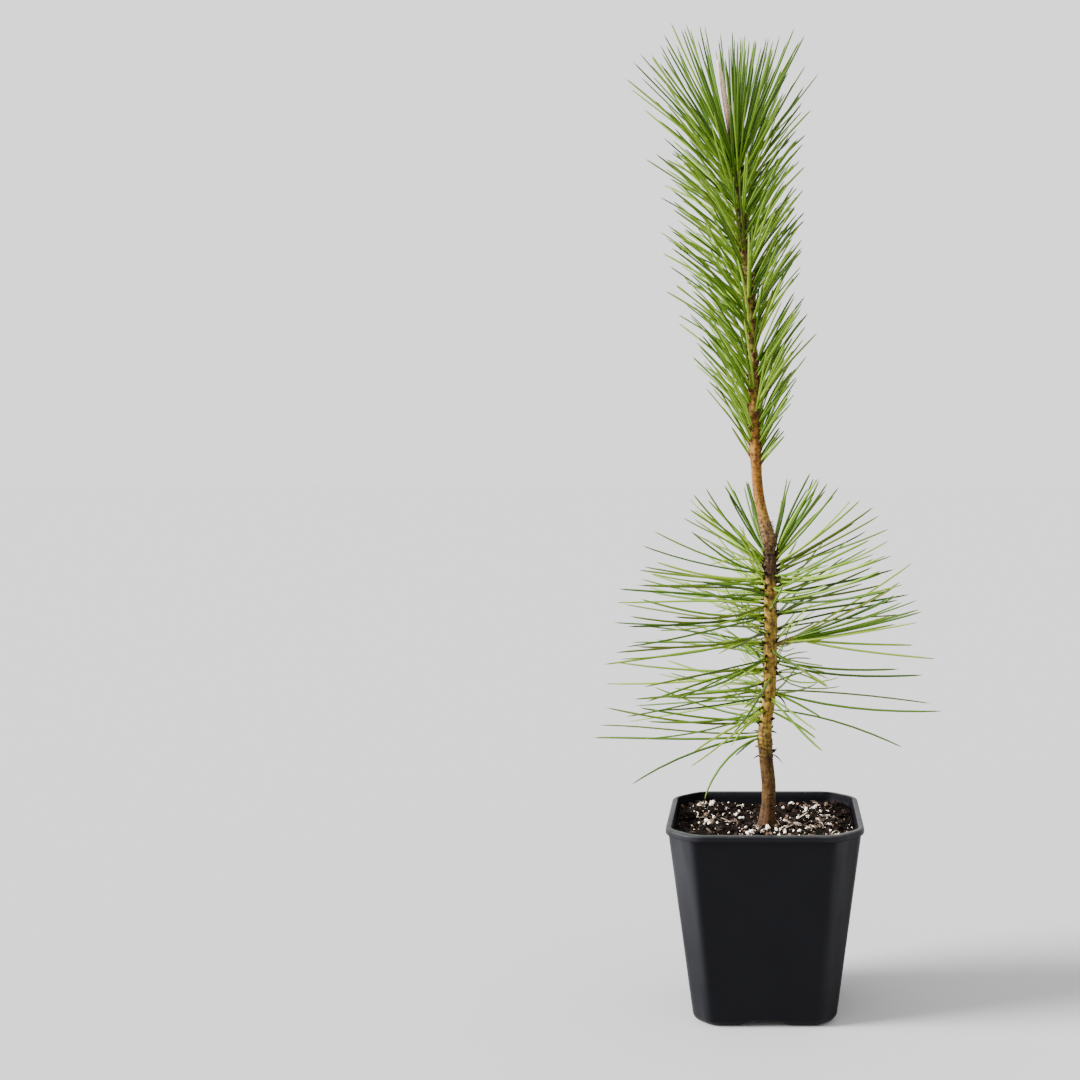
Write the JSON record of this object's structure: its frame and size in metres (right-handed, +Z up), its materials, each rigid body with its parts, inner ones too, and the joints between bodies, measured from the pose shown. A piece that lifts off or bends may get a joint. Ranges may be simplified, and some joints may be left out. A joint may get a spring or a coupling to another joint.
{
  "type": "young japanese black pine in a square nursery pot",
  "caption": "Young black pine with one upright trunk, whorls of long paired needles and a bare bud at its tip, growing in potting mix in a tapered square plastic pot.",
  "frame": {"origin": "middle of the pot's footprint, on the surface that the pot stands on", "axes": "+Z up along the trunk, +X to the right and +Y to the back as the picture sees the plant"},
  "size_m": [0.1851, 0.1699, 0.5137],
  "materials": {
    "pot_plastic": "satin black moulded plastic, greyer and dusty along the lip",
    "potting_mix": "damp dark potting mix with white perlite grains and bark shreds",
    "bark": "young tan bark with darker flaking scales",
    "bud": "pale pinkish papery bud scales",
    "needle_green": "smooth, slightly waxy pine needles, deep green to yellow green"
  },
  "bodies": {
    "root": {"pot": "pot_plastic", "potting_mix": "potting_mix", "trunk": "bark", "side_shoot": "bark", "candle": "bud", "needles_lower_1_right": "needle_green", "needles_lower_1_back": "needle_green", "needles_lower_1_left": "needle_green", "needles_lower_1_front": "needle_green", "needles_lower_2_right": "needle_green", "needles_lower_2_back": "needle_green", "needles_lower_2_left": "needle_green", "needles_lower_2_front": "needle_green", "needles_lower_3_right": "needle_green", "needles_lower_3_back": "needle_green", "needles_lower_3_left": "needle_green", "needles_lower_3_front": "needle_green", "needles_lower_4_right": "needle_green", "needles_lower_4_back": "needle_green", "needles_lower_4_left": "needle_green", "needles_lower_4_front": "needle_green", "needles_upper_1_right": "needle_green", "needles_upper_1_back": "needle_green", "needles_upper_1_left": "needle_green", "needles_upper_1_front": "needle_green", "needles_upper_2_right": "needle_green", "needles_upper_2_back": "needle_green", "needles_upper_2_left": "needle_green", "needles_upper_2_front": "needle_green", "needles_upper_3_right": "needle_green", "needles_upper_3_back": "needle_green", "needles_upper_3_left": "needle_green", "needles_upper_3_front": "needle_green", "needles_upper_4_right": "needle_green", "needles_upper_4_back": "needle_green", "needles_upper_4_left": "needle_green", "needles_upper_4_front": "needle_green", "needles_top_tuft_right": "needle_green", "needles_top_tuft_back": "needle_green", "needles_top_tuft_left": "needle_green", "needles_top_tuft_front": "needle_green", "needles_side_shoot": "needle_green"}
  },
  "joints": []
}
